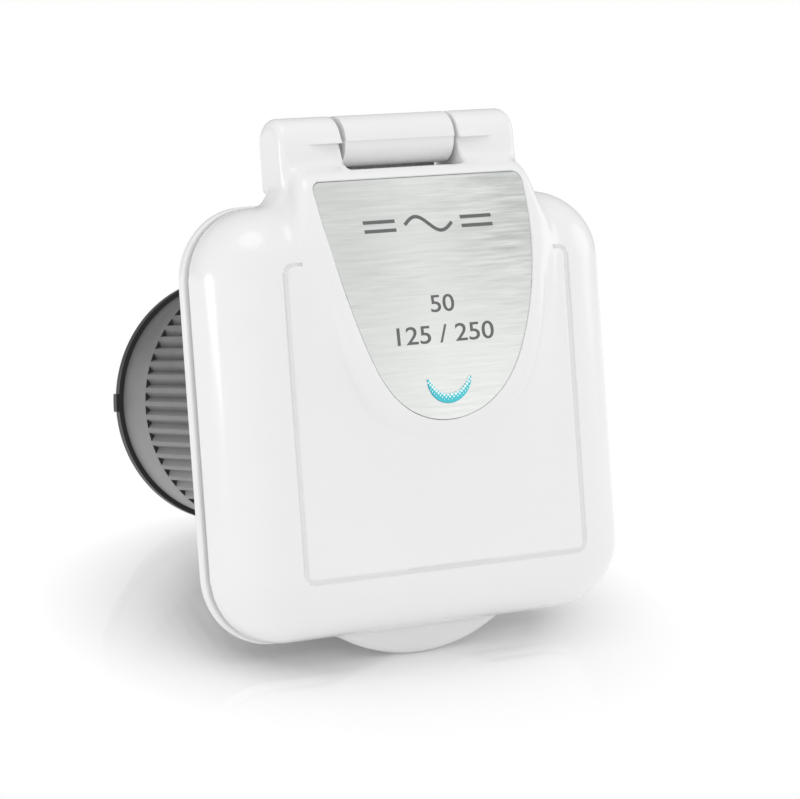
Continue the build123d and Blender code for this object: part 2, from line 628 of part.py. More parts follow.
def lid_shell():
    """The white moulded lid with its hinge ears, raised shoulder and pull tab."""
    body = slab(rounded(LID_HALF_W, LID_LOW, LID_HIGH, LID_CORNER), LID_REAR, LID_PANEL)
    body = fillet(body.edges().group_by(Axis.Y)[0], LID_EDGE_R)
    body += lid_ears()
    body += shoulder()
    body -= lid_cavity()
    tab = Pos(0, TAB_CENTRE_Z) * Circle(TAB_R) & Pos(0, LID_LOW - 20 + LID_WALL) * Rectangle(90, 40)
    tab = slab(tab, LID_REAR, LID_REAR - TAB_T)
    body += fillet(tab.edges().filter_by(GeomType.CIRCLE), 0.8)
    body -= crown_pocket()
    body -= panel_groove()
    # Recess for the steel plate, and the way through it for the lens.
    seat = slab(plate_face(PLATE_GAP), 0, -60)
    body -= seat & crown_band(PLATE_T + PLATE_SUNK, 6.0)
    body -= slab(crescent(GAP), 0, -60)
    # Room for the knuckle, its leaf and the pin.
    notch = Rectangle(2 * NOTCH_HALF_W, 40)
    body -= slab(Pos(0, NOTCH_BOTTOM + 20) * notch, 1, -60)
    body -= slab(Pos(0, FLANGE_HIGH - 1 + 20) * notch, 1, LID_REAR)
    pin_hole = Pos(HINGE_Y, HINGE_Z) * Circle(PIN_R + PIN_CLEARANCE)
    body -= bar(pin_hole, -PIN_HALF_LEN - 0.5, PIN_HALF_LEN + 0.5)
    leg_y, leg_z = polar(SPRING_COIL_R, LEG_REST_DEG)
    leg_hole = Pos(HINGE_Y + leg_y, HINGE_Z + leg_z) * Circle(SPRING_WIRE_R + GAP)
    reach = NOTCH_HALF_W + LEG_HOLE_DEPTH
    body -= bar(leg_hole, -reach, reach)
    for x, z in liner_boss_places():
        body += slab(Pos(x, z) * Circle(LINER_BOSS_R), LINER_FRONT, LID_PANEL + LID_WALL - 0.5)
        body -= slab(Pos(x, z) * Circle(SMALL_SCREW_R + GAP), LINER_FRONT + 1, LID_PANEL + LID_WALL - 0.4)
    return body


def lid_liner():
    """The flat inner panel that closes the lid's front hollow and holds the seal."""
    outline = rounded(LINER_HALF_W, LINER_LOW, LINER_HIGH, LINER_CORNER)
    outline -= Pos(0, LENS_Z) * Circle(LENS_ROD_R + GAP)
    for x, z in liner_boss_places():
        outline -= Pos(x, z) * Circle(SMALL_SCREW_R + GAP)
    body = slab(outline, LINER_REAR, LINER_FRONT)
    seat = ring(SEAL_OUTER_R + 1.8, SEAL_OUTER_R + GAP, LINER_REAR + 1.2, LINER_REAR - 0.2)
    return body + seat


def lid_seal():
    """The rubber ring that closes on the collar's rim."""
    body = ring(SEAL_OUTER_R, SEAL_INNER_R, COLLAR_FRONT - MOVING, LINER_REAR)
    return fillet(body.edges().group_by(Axis.Y)[-1], 0.5)


def liner_screws():
    """Four screws that hold the liner to the lid."""
    places = liner_boss_places()
    return Compound([screw(x, z, LINER_REAR, 2.6, SMALL_SCREW_R, -1) for x, z in places])


def steel_trim_plate():
    """The brushed steel shield set into the lid's shoulder."""
    body = slab(plate_face(), 0, -60) & crown_band(PLATE_T + PLATE_SUNK, -PLATE_SUNK)
    return body - slab(crescent(GAP), 0, -60)


def indicator_lens():
    """The crescent lens that shows through the plate, with its light rod behind."""
    front = slab(crescent(), LENS_DISC_Y + 0.5, -60) & crown_band(8.0, 0.1)
    return front + lens_rod()


PIECES = {
    "wall_gasket": wall_gasket,
    "base_plate": base_plate,
    "hinge_pin": hinge_pin,
    "hinge_spring_left": lambda: hinge_spring(-1),
    "hinge_spring_right": lambda: hinge_spring(1),
    "socket_collar": socket_collar,
    "contact_carrier": contact_carrier,
    "blade_line_1": lambda: blade("line_1"),
    "blade_line_2": lambda: blade("line_2"),
    "blade_neutral": lambda: blade("neutral"),
    "ground_pin": ground_pin,
    "terminal_block": terminal_block,
    "terminal_line_1": lambda: terminal("line_1"),
    "terminal_line_2": lambda: terminal("line_2"),
    "terminal_neutral": lambda: terminal("neutral"),
    "terminal_ground": lambda: terminal("ground"),
    "terminal_screws": terminal_screws,
    "carrier_screws": carrier_screws,
    "indicator_led": indicator_led,
    "indicator_board": indicator_board,
    "rear_housing": rear_housing,
    "housing_screws": housing_screws,
    "cover_seal": cover_seal,
    "rear_cover": rear_cover,
    "rear_end_cap": rear_end_cap,
    "end_cap_screws": end_cap_screws,
    "gland_seal": gland_seal,
    "gland_nut": gland_nut,
    "lid_shell": lid_shell,
    "lid_liner": lid_liner,
    "lid_seal": lid_seal,
    "liner_screws": liner_screws,
    "steel_trim_plate": steel_trim_plate,
    "indicator_lens": indicator_lens,
}

for node, build in PIECES.items():
    export_step(build(), f"parts/{node}.step")
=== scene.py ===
"""Looks for the caravan power inlet: the moulded lid, the finishes and marks, a white studio.

Every length below is in millimetres, and MM turns it into metres. The frame's origin is where the
barrel's axis meets the wall; X runs to the right of somebody facing the inlet, Y into the wall.
"""
import json
import math

import bmesh
import bpy
import numpy as np
from mathutils import Matrix, Vector


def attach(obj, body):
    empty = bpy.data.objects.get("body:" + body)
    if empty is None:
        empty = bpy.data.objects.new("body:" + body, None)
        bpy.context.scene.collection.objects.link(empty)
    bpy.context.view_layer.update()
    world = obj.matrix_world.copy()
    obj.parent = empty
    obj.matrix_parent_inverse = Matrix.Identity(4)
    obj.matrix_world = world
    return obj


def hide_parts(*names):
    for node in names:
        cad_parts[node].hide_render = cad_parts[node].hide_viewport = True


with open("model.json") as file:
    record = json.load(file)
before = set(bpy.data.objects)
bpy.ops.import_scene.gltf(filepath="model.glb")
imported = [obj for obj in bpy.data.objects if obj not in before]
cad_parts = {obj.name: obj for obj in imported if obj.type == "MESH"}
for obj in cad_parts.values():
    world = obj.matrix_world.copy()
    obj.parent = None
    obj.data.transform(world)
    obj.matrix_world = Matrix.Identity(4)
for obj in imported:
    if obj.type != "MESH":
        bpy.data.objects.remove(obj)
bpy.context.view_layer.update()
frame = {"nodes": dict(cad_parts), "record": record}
NODES = frame["nodes"]
MM = 0.001

# ---- sizes that the lid's moulded form is worked out from, in mm --------------------------------
LID_HALF_W, LID_LOW, LID_HIGH, LID_CORNER = 64.0, -63.5, 57.8, 20.0
LID_REAR, LID_RIM, LID_PANEL, LID_EDGE_R, LID_WALL = -5.0, -5.3, -27.5, 19.0, 2.5
TAB_R, TAB_CENTRE_Z, TAB_T, TAB_EDGE = 49.0, -22.5, 2.6, 1.1
FOOT = [(0, -32.0), (17.5, -25.5), (30.0, -8.5), (36.8, 17.0), (39.3, 48.0), (36.5, 67.5)]
CROWN = [(0, -13.8), (17.5, -8.2), (27.8, 4.5), (34.2, 24.0), (37.4, 48.0), (36.5, 67.5)]
CROWN_PROFILE = [(-31.6, -13.8), (-33.5, -4.2), (-34.6, 16.0), (-31.4, 40.8), (-24.4, 63.0)]
CROWN_FOOT_Y = -31.6
BROW = [(-24.2, 64.6), (-16.5, 68.7)]
HINGE_Y, HINGE_Z, EAR_R, EAR_HALF_W = -9.0, 74.6, 7.5, 38.0
EAR_BOTTOM, EAR_BLOCK_LOW, EAR_EDGE = 61.5, 45.8, 2.6
NOTCH_HALF_W, NOTCH_BOTTOM = 18.9, 66.6
GROOVE_HALF_W, GROOVE_LOW, GROOVE_HIGH, GROOVE_CORNER = 45.0, -45.9, 41.4, 2.4
GROOVE_HOOK_X, GROOVE_R = 40.3, 0.55
CREASE_Z, CREASE_END_X, CREASE_LOW_Z, CREASE_TOP_Z = 74.3, 29.3, 68.0, 76.4
CREASE_DEPTH, CREASE_RAISED, CREASE_LIP = 1.6, 0.9, 0.2
PIN_BORE_R, PIN_BORE_HALF = 1.85, 33.4
SPRING_COIL_R, SPRING_WIRE_R, LEG_START, LEG_END = 3.3, 0.5, 18.5, 21.6
PLATE_SUNK, PLATE_T, SEAT_GAP, SEAT_REACH = 0.2, 0.8, 0.3, 1.2
LENS_ARC_Z, LENS_ARC_R, LENS_FADE = 9.4, 6.6, 2.2
BARREL_CREST_R, BARREL_SHADE_HALF = 38.1, 34.0

# How wide the fillets are where two forms join, and how round the edges are.
EARS_JOIN, PANEL_JOIN, TAB_JOIN = 2.2, 5.5, 1.6
BROW_EDGE, CROWN_EDGE, SHOULDER_EDGE, RIM_EDGE, TAB_TOP_EDGE = 2.2, 4.2, 0.6, 0.4, 0.5
HOLLOW_EDGE, NOTCH_EDGE, LEAF_EDGE, LEAF_GAP = 0.6, 0.7, 0.3, 0.4
CROWN_SLOPE = 0.97  # a distance taken along Y, set square to the crown's slope
VOXEL, LID_SMOOTH_DEG, LEG_SMOOTH_DEG = 0.9, 38.0, 50.0


# ---- making and editing meshes ------------------------------------------------------------------
def deselect():
    bpy.ops.object.select_all(action="DESELECT")


def take(obj):
    """Make obj the only selected object and the active one."""
    deselect()
    obj.select_set(True)
    bpy.context.view_layer.objects.active = obj


def settle(obj):
    """Put the object's place into its mesh, so that it sits at the origin, unturned."""
    take(obj)
    bpy.ops.object.transform_apply(location=True, rotation=True, scale=True)
    return obj


def named(obj, name):
    obj.name = name
    obj.data.name = name
    return obj


def placed(name, data):
    """A new object with that data, in the scene."""
    obj = bpy.data.objects.new(name, data)
    bpy.context.scene.collection.objects.link(obj)
    return obj


def edit_mesh(obj, *steps):
    """Run steps of edit mode on the whole mesh."""
    take(obj)
    bpy.ops.object.mode_set(mode="EDIT")
    bpy.ops.mesh.select_all(action="SELECT")
    for step, settings in steps:
        step(**settings)
    bpy.ops.object.mode_set(mode="OBJECT")
    return obj


def welded(obj):
    """Merge doubled points and turn every face outwards."""
    merge = (bpy.ops.mesh.remove_doubles, dict(threshold=0.001 * MM))
    outwards = (bpy.ops.mesh.normals_make_consistent, dict(inside=False))
    return edit_mesh(obj, merge, outwards)


def apply_modifier(obj, kind, **settings):
    take(obj)
    mod = obj.modifiers.new(kind.lower(), kind)
    for key, value in settings.items():
        setattr(mod, key, value)
    bpy.ops.object.modifier_apply(modifier=mod.name)
    return obj


def cut(obj, tool):
    """Cut tool out of obj and delete the tool."""
    apply_modifier(obj, "BOOLEAN", operation="DIFFERENCE", object=tool, solver="MANIFOLD")
    bpy.data.objects.remove(tool, do_unlink=True)


def copy_of(node, name):
    """A loose copy of a CAD node's mesh, with its doubled points merged."""
    obj = placed(name, NODES[node].data.copy())
    obj.data.materials.clear()
    return edit_mesh(obj, (bpy.ops.mesh.remove_doubles, dict(threshold=0.002 * MM)))


def smooth(obj, degrees):
    take(obj)
    bpy.ops.object.shade_smooth_by_angle(angle=math.radians(degrees))


def points_of(obj):
    co = np.empty(len(obj.data.vertices) * 3)
    obj.data.vertices.foreach_get("co", co)
    return co.reshape(-1, 3)


def set_points(obj, co):
    obj.data.vertices.foreach_set("co", np.ascontiguousarray(co, dtype=np.float32).ravel())
    obj.data.update()


# ---- the lid's form, as distances in mm: below 0 inside, above 0 outside ------------------------
def rounded_line(points, steps=14):
    """A smooth line through a half outline, level at its start and upright at its end."""
    p = np.array(points, float)
    before = p[1] * (-1, 1)
    after = p[-1] + (0, 12.0)
    p = np.vstack([before, p, after])
    out = []
    for a, b, c, d in zip(p[:-3], p[1:-2], p[2:-1], p[3:]):
        span = np.linalg.norm(c - b)
        lead = (c - a) / np.linalg.norm(c - a) * span
        tail = (d - b) / np.linalg.norm(d - b) * span
        for t in np.arange(steps) / steps:
            h = (2 * t**3 - 3 * t**2 + 1, t**3 - 2 * t**2 + t, -2 * t**3 + 3 * t**2, t**3 - t**2)
            out.append(h[0] * b + h[1] * lead + h[2] * c + h[3] * tail)
    out.append(p[-2])
    return np.array(out)


def closed_outline(points):
    """Both halves of an outline, carried 30 mm past its top."""
    right = rounded_line(points)
    right = np.vstack([right, right[-1] + (0, 30.0)])
    return np.vstack([right, right[:0:-1] * (-1, 1)])


class OutlineMap:
    """Signed distance to an outline in X and Z, looked up on a fine grid."""

    STEP, HALF_W, LOW, HIGH = 0.5, 60.0, -55.0, 92.0

    def __init__(self, outline):
        xs = np.arange(-self.HALF_W, self.HALF_W, self.STEP)
        zs = np.arange(self.LOW, self.HIGH, self.STEP)
        grid = np.stack(np.meshgrid(xs, zs, indexing="ij"), -1).reshape(-1, 2)
        near = np.full(len(grid), 1e9)
        inside = np.zeros(len(grid), bool)
        for a, b in zip(outline, np.roll(outline, -1, 0)):
            ab, ap = b - a, grid - a
            t = np.clip(ap @ ab / (ab @ ab), 0, 1)
            near = np.minimum(near, np.hypot(*(ap - t[:, None] * ab).T))
            crosses = (a[1] > grid[:, 1]) != (b[1] > grid[:, 1])
            rise = b[1] - a[1] if b[1] != a[1] else 1.0
            inside ^= crosses & (grid[:, 0] < a[0] + (grid[:, 1] - a[1]) * ab[0] / rise)
        self.table = np.where(inside, -near, near).reshape(len(xs), len(zs))

    def __call__(self, x, z):
        u = np.clip((x + self.HALF_W) / self.STEP, 0, self.table.shape[0] - 1.001)
        v = np.clip((z - self.LOW) / self.STEP, 0, self.table.shape[1] - 1.001)
        i, j = u.astype(int), v.astype(int)
        fu, fv = u - i, v - j
        t = self.table
        low = t[i, j] * (1 - fu) + t[i + 1, j] * fu
        high = t[i, j + 1] * (1 - fu) + t[i + 1, j + 1] * fu
        return low * (1 - fv) + high * fv


def join_soft(a, b, width):
    """The nearer of two forms, with a fillet where they meet."""
    return np.minimum(a, b) - np.maximum(width - np.abs(a - b), 0) ** 2 / (4 * width)


def keep_both(a, b, width):
    """What two forms share, with its edge rounded over."""
    return -join_soft(-a, -b, width)


def corner_distance(u, v):
    """Distance to a square corner, from how far a place lies past each of its two sides."""
    return np.hypot(np.maximum(u, 0), np.maximum(v, 0)) + np.minimum(np.maximum(u, v), 0)


def rounded_edge(a, b, radius):
    """Two faces that meet in an edge of that radius."""
    return corner_distance(a + radius, b + radius) - radius


def flat_box(a, b, a_low, a_high, b_low, b_high):
    """A rectangle's distance, in any two of the axes."""
    past_a = np.abs(a - (a_low + a_high) / 2) - (a_high - a_low) / 2
    past_b = np.abs(b - (b_low + b_high) / 2) - (b_high - b_low) / 2
    return corner_distance(past_a, past_b)


def panel_block(x, y, z, inset):
    """The lid's rounded square, running back without end from a front with a rounded edge."""
    middle, half_h = (LID_LOW + LID_HIGH) / 2, (LID_HIGH - LID_LOW) / 2
    past_x = np.abs(x) - LID_HALF_W + inset
    past_z = np.abs(z - middle) - half_h + inset
    side = rounded_edge(past_x, past_z, LID_CORNER - inset)
    return rounded_edge(side, LID_PANEL + inset - y, LID_EDGE_R - inset)


foot_map = OutlineMap(closed_outline(FOOT))
crown_map = OutlineMap(closed_outline(CROWN))
crown_fit = np.polynomial.Polynomial.fit(
    [z for _, z in CROWN_PROFILE], [y for y, _ in CROWN_PROFILE], deg=4
)


def crown_y(z):
    """Where the crown's surface stands at a height, carried on straight past its two ends."""
    (_, low), (_, high) = CROWN_PROFILE[0], CROWN_PROFILE[-1]
    slope = crown_fit.deriv()
    inner = crown_fit(np.clip(z, low, high))
    return inner + np.maximum(z - high, 0) * slope(high) + np.minimum(z - low, 0) * slope(low)


def shoulder_form(x, y, z):
    """The raised shoulder: a skirt that narrows forward, under the crown's curved front."""
    height = np.clip((LID_PANEL - y) / (LID_PANEL - CROWN_FOOT_Y), 0, 1)
    foot, crown = foot_map(x, z), crown_map(x, z)
    lean = np.maximum(crown - foot, 0) / (LID_PANEL - CROWN_FOOT_Y)
    side = (foot + (crown - foot) * height) / np.sqrt(1 + lean**2)
    (ya, za), (yb, zb) = BROW
    length = math.hypot(yb - ya, zb - za)
    brow = ((z - za) * (yb - ya) - (y - ya) * (zb - za)) / length
    face = keep_both((crown_y(z) - y) * CROWN_SLOPE, brow, BROW_EDGE)
    return keep_both(keep_both(side, face, CROWN_EDGE), y - LID_REAR, SHOULDER_EDGE)


def ears_form(x, y, z):
    """The hinge's barrel and the block under it."""
    front, rear = HINGE_Y - EAR_R, HINGE_Y + EAR_R
    barrel = np.hypot(y - HINGE_Y, z - HINGE_Z) - EAR_R
    upper = flat_box(y, z, front, rear, EAR_BOTTOM, HINGE_Z)
    lower = flat_box(y, z, front, LID_REAR, EAR_BLOCK_LOW, HINGE_Z)
    section = np.minimum(np.minimum(barrel, upper), lower)
    return rounded_edge(np.abs(x) - EAR_HALF_W, section, EAR_EDGE)


def tab_form(x, y, z):
    """The pull tab below the lid."""
    middle = LID_REAR - TAB_T / 2
    disc = np.hypot(x, z - TAB_CENTRE_Z) - TAB_R
    below = keep_both(disc, z - LID_LOW - LID_WALL, TAB_TOP_EDGE)
    return rounded_edge(below, np.abs(y - middle) - TAB_T / 2, TAB_EDGE)


def lid_form(x, y, z):
    """The whole lid: panel, shoulder, ears and tab, less its hollow and the knuckle's notch."""
    panel = keep_both(panel_block(x, y, z, 0.0), y - LID_RIM, RIM_EDGE)
    upper = join_soft(ears_form(x, y, z), shoulder_form(x, y, z), EARS_JOIN)
    whole = join_soft(panel, upper, PANEL_JOIN)
    whole = join_soft(whole, tab_form(x, y, z), TAB_JOIN)
    beside = np.abs(x) - NOTCH_HALF_W
    notch = np.maximum(beside, NOTCH_BOTTOM - z)
    leaf = np.maximum(np.maximum(beside, LID_HIGH - LEAF_GAP - z), LID_REAR - y)
    whole = keep_both(whole, -panel_block(x, y, z, LID_WALL), HOLLOW_EDGE)
    return keep_both(keep_both(whole, -notch, NOTCH_EDGE), -leaf, LEAF_EDGE)


def pull_to_form(co, form):
    """Move the points that lie near a form's surface onto it, in mm."""
    reach, corner_reach, rounds, step, longest_move, least_slope = 1.35, 3.2, 6, 0.02, 0.6, 0.25
    corner_x, corner_y = CROWN[-2][0] - 4.0, LID_REAR - 6.0
    x, y, z = co.T
    # The deep corners between the ears and the panel lie further under their fillets.
    in_corner = (np.abs(x) > corner_x) & (z > GROOVE_HIGH) & (y < corner_y)
    near = np.abs(form(x, y, z)) < np.where(in_corner, corner_reach, reach)
    p = co[near]
    for _ in range(rounds):
        value = form(*p.T)
        slope = np.empty_like(p)
        for axis in range(3):
            nudge = np.zeros(3)
            nudge[axis] = step
            slope[:, axis] = (form(*(p + nudge).T) - form(*(p - nudge).T)) / (2 * step)
        size = np.maximum((slope**2).sum(1), least_slope)
        move = -(value / size)[:, None] * slope
        p = p + np.clip(move, -longest_move, longest_move)
    co[near] = p
    return co


def lid_front(x, z):
    """How far forward the lid's surface stands at a place, found by halving."""
    out, within, halvings = -45.0, -26.0, 24
    for _ in range(halvings):
        middle = (out + within) / 2
        value = lid_form(np.array([x]), np.array([middle]), np.array([z]))[0]
        out, within = (middle, within) if value > 0 else (out, middle)
    return out


# ---- the lid ------------------------------------------------------------------------------------
def groove_tool():
    """A thin round bar laid along the panel's square line, with a hook at each end."""
    r, turn_steps = GROOVE_CORNER, 8
    corners = [
        (-GROOVE_HOOK_X, GROOVE_HIGH, 0),
        (-GROOVE_HALF_W, GROOVE_HIGH, r),
        (-GROOVE_HALF_W, GROOVE_LOW, r),
        (GROOVE_HALF_W, GROOVE_LOW, r),
        (GROOVE_HALF_W, GROOVE_HIGH, r),
        (GROOVE_HOOK_X, GROOVE_HIGH, 0),
    ]
    path = []
    for i, (x, z, radius) in enumerate(corners):
        here = Vector((x, z))
        if not radius:
            path.append(here)
            continue
        to_last = (Vector(corners[i - 1][:2]) - here).normalized() * radius
        to_next = (Vector(corners[i + 1][:2]) - here).normalized() * radius
        centre = here + to_last + to_next
        for k in range(turn_steps + 1):
            t = math.pi / 2 * k / turn_steps
            path.append(centre - to_next * math.cos(t) - to_last * math.sin(t))
    curve = bpy.data.curves.new("groove_tool", "CURVE")
    curve.dimensions = "3D"
    curve.bevel_depth = GROOVE_R * MM
    curve.bevel_resolution = 4
    curve.use_fill_caps = True
    spline = curve.splines.new("POLY")
    spline.points.add(len(path) - 1)
    for point, (x, z) in zip(spline.points, path):
        point.co = (x * MM, lid_front(x, z) * MM, z * MM, 1)
    take(placed("groove_tool", curve))
    bpy.ops.object.convert(target="MESH")
    return welded(bpy.context.object)


def grown(node, amount):
    """A cutting tool: a CAD node grown all round by an amount in mm."""
    return apply_modifier(copy_of(node, "tool"), "DISPLACE", strength=amount * MM, mid_level=0.0)


def plate_seat_tool():
    """The steel plate grown a little all round, with its front carried out past the crown."""
    tool = grown("steel_trim_plate", SEAT_GAP)
    co = points_of(tool) / MM
    in_front = co[:, 1] < crown_y(co[:, 2]) + PLATE_SUNK + PLATE_T / 2
    co[in_front, 1] -= SEAT_REACH
    set_points(tool, co * MM)
    return tool


def share(part, whole):
    """How much of the whole a part is, kept between 0 and 1."""
    return min(max(part / whole, 0.0), 1.0)


def press_crease(obj):
    """Set the ears back a little under the hinge's crease line, fading out and down."""
    front, band_half, past_end = HINGE_Y - 3, 1.6, 2.0
    bm = bmesh.new()
    bm.from_mesh(obj.data)
    for level in (CREASE_Z, CREASE_Z - CREASE_LIP, CREASE_LOW_Z):
        middles = [(face, face.calc_center_median() / MM) for face in bm.faces]
        band = [
            face
            for face, (x, y, z) in middles
            if abs(z - level) < band_half and y < front - 1 and abs(x) < CREASE_END_X + past_end
        ]
        parts = {part for face in band for part in (face, *face.edges, *face.verts)}
        bmesh.ops.bisect_plane(
            bm, geom=list(parts), dist=1e-7, plane_co=(0, 0, level * MM), plane_no=(0, 0, 1)
        )
    for vert in bm.verts:
        x, y, z = vert.co / MM
        beside = share(CREASE_END_X - abs(x), CREASE_END_X - NOTCH_HALF_W) ** 0.7
        under = share(z - CREASE_LOW_Z, CREASE_Z - CREASE_LOW_Z) ** 1.5
        over = share(CREASE_TOP_Z - z, CREASE_TOP_Z - CREASE_Z) ** 2
        if y < front and z < CREASE_Z - CREASE_LIP / 2:
            vert.co.y += CREASE_DEPTH * beside * under * MM
        elif y < front:
            vert.co.y -= CREASE_RAISED * beside * over * MM
    bm.to_mesh(obj.data)
    bm.free()


def rod(name, radius, length, place, sides):
    """A closed cylinder along X, in mm."""
    deselect()
    bpy.ops.mesh.primitive_cylinder_add(
        vertices=sides,
        radius=radius * MM,
        depth=length * MM,
        location=[c * MM for c in place],
        rotation=(0, math.pi / 2, 0),
    )
    return named(settle(bpy.context.object), name)


def lid_moulding():
    """The white lid as one soft-edged moulding, which stands for the plain CAD lid."""
    lid = copy_of("lid_shell", "lid_moulding")
    apply_modifier(lid, "REMESH", mode="VOXEL", voxel_size=VOXEL * MM, adaptivity=0.0)
    co = points_of(lid) / MM
    set_points(lid, pull_to_form(co, lid_form) * MM)
    cut(lid, plate_seat_tool())
    cut(lid, grown("indicator_lens", SEAT_GAP))
    cut(lid, groove_tool())
    press_crease(lid)
    cut(lid, rod("pin_bore", PIN_BORE_R, 2 * PIN_BORE_HALF, (0, HINGE_Y, HINGE_Z), 32))
    smooth(lid, LID_SMOOTH_DEG)
    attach(lid, "lid")
    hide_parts("lid_shell")
    return lid


# ---- finishes -----------------------------------------------------------------------------------
class Wire:
    """A socket among a group of nodes. Arithmetic on it adds the nodes that work it out."""

    def __init__(self, group, socket):
        self.group, self.socket = group, socket

    def maths(self, operation, *values):
        sockets = dict(enumerate(values))
        return self.group.node("ShaderNodeMath", {"operation": operation}, sockets)

    def __add__(self, other):
        return self.maths("ADD", self, other)

    def __sub__(self, other):
        return self.maths("SUBTRACT", self, other)

    def __rsub__(self, other):
        return self.maths("SUBTRACT", other, self)

    def __mul__(self, other):
        return self.maths("MULTIPLY", self, other)

    def __truediv__(self, other):
        return self.maths("DIVIDE", self, other)

    def __lt__(self, other):
        return self.maths("LESS_THAN", self, other)

    def __pow__(self, other):
        return self.maths("POWER", self, other)

    def __mod__(self, other):
        return self.maths("FLOORED_MODULO", self, other)

    __radd__, __rmul__ = __add__, __mul__

    def abs(self):
        return self.maths("ABSOLUTE", self)

    def held(self):
        """Kept between 0 and 1."""
        return self.maths("MINIMUM", self.maths("MAXIMUM", self, 0.0), 1.0)

    def past(self, start, gain):
        """How far past a start, times a gain, kept between 0 and 1."""
        return ((self - start) * gain).held()

    def swing(self, amount):
        """A noise's rise and fall about its middle, times an amount."""
        return (self - 0.5) * amount


class Nodes:
    """A tree of shader nodes."""

    def __init__(self, tree):
        self.tree = tree

    def node(self, kind, settings=None, sockets=None, out=0):
        """Add a node: its settings first, then the value or link of each socket named."""
        made = self.tree.nodes.new(kind)
        for key, value in (settings or {}).items():
            if key == "stops":
                set_stops(made.color_ramp, value)
            else:
                setattr(made, key, value)
        for key, value in (sockets or {}).items():
            if isinstance(value, Wire):
                self.tree.links.new(value.socket, made.inputs[key])
            else:
                made.inputs[key].default_value = value
        return Wire(self, made.outputs[out]) if made.outputs else None

    def axes(self, vector):
        """A vector's X, Y and Z."""
        parts = self.node("ShaderNodeSeparateXYZ", None, {0: vector}).socket.node
        return [Wire(self, parts.outputs[k]) for k in range(3)]


class Finish(Nodes):
    """One material, made of nodes that read the object's own coordinates."""

    def __init__(self, name, **constants):
        self.material = bpy.data.materials.new(name)
        self.material.use_nodes = True
        super().__init__(self.material.node_tree)
        self.shader = self.tree.nodes["Principled BSDF"]
        for socket, value in constants.items():
            self.shader.inputs[socket.replace("_", " ")].default_value = value
        self.place = self.node("ShaderNodeTexCoord", out="Object")

    def feed(self, socket, wire):
        self.tree.links.new(wire.socket, self.shader.inputs[socket])
        return self

    def mm(self):
        """The place's X, Y and Z in mm."""
        return [axis * (1 / MM) for axis in self.axes(self.place)]

    def stretched(self, x, y, z):
        """The place, scaled along each axis, in cycles a metre."""
        return self.node("ShaderNodeMapping", None, {0: self.place, "Scale": (x, y, z)})

    def noise(self, place, scale=1.0, detail=3.0, rough=0.5):
        sockets = {"Vector": place, "Scale": scale, "Detail": detail, "Roughness": rough}
        return self.node("ShaderNodeTexNoise", None, sockets)

    def mix(self, factor, a, b):
        """One colour into another."""
        colour_a, colour_b, colour_out = 6, 7, 2
        sockets = {0: factor, colour_a: a, colour_b: b}
        return self.node("ShaderNodeMix", {"data_type": "RGBA"}, sockets, colour_out)

    def bump(self, height, depth_mm):
        sockets = {"Height": height, "Distance": depth_mm * MM, "Strength": 1.0}
        return self.feed("Normal", self.node("ShaderNodeBump", None, sockets))


def set_stops(ramp, stops):
    """Give a colour ramp its stops, each a position and a colour."""
    while len(ramp.elements) < len(stops):
        ramp.elements.new(1.0)
    for element, (position, colour) in zip(ramp.elements, stops):
        element.position = position
        element.color = colour


def grey(value):
    return (value, value, value, 1.0)


def darkened(colour, amount):
    return tuple(channel * amount for channel in colour[:3]) + (1.0,)


def moulded(name, colour, gloss, grain_mm, grain_depth, **constants):
    """Injection-moulded plastic: a slightly uneven skin with a fine grain."""
    f = Finish(name, **constants)
    cloud = f.noise(f.place, 34.0, 3.0)
    f.feed("Base Color", f.mix(cloud, darkened(colour, 0.965), colour))
    grain = f.noise(f.place, 1 / (grain_mm * MM), 2.0)
    wear = f.noise(f.place, 120.0, 4.0, 0.6)
    f.feed("Roughness", gloss + wear.swing(0.22 * gloss) + grain.swing(0.03))
    f.bump(grain, grain_depth)
    return f.material


def brushed_steel():
    """Stainless sheet brushed across, with long and short strokes of uneven depth, and painted
    shade.
    """
    f = Finish("brushed_stainless", Metallic=1.0, Anisotropic=0.4)
    fine = f.noise(f.stretched(60.0, 300.0, 3600.0), 1.0, 3.0, 0.6)
    strokes = f.noise(f.stretched(62.0, 60.0, 950.0), 1.0, 4.0, 0.62)
    patches = f.noise(f.stretched(22.0, 10.0, 60.0), 1.0, 2.0, 0.5)
    x, _, z = f.mm()
    # Painted shade: the sheet is painted darker on its left and a little towards its top; on its
    # upper right the strokes show stronger and it is painted darker too.
    streaks_and_shade_far = x.past(2.0, 0.04) * z.past(12.0, 0.03)
    painted_shade_near = x.past(-4.0, -0.045) * 0.24 + z.past(30.0, 0.03) * 0.06
    contrast = (0.30 + streaks_and_shade_far * 0.8 + patches.swing(1.1)).held()
    line = (strokes.swing(contrast) * 2.0 + fine.swing(0.35) + 0.62).held()
    dark, pale = (0.60, 0.625, 0.605, 1.0), (0.985, 1.0, 0.98, 1.0)
    tone = f.mix((line - streaks_and_shade_far * 0.34 - painted_shade_near).held(), dark, pale)
    f.feed("Base Color", tone)
    f.feed("Roughness", 0.30 + line.swing(0.10) + patches.swing(0.05))
    f.bump(strokes * 0.6 + fine * 0.4, 0.006)
    return f.material


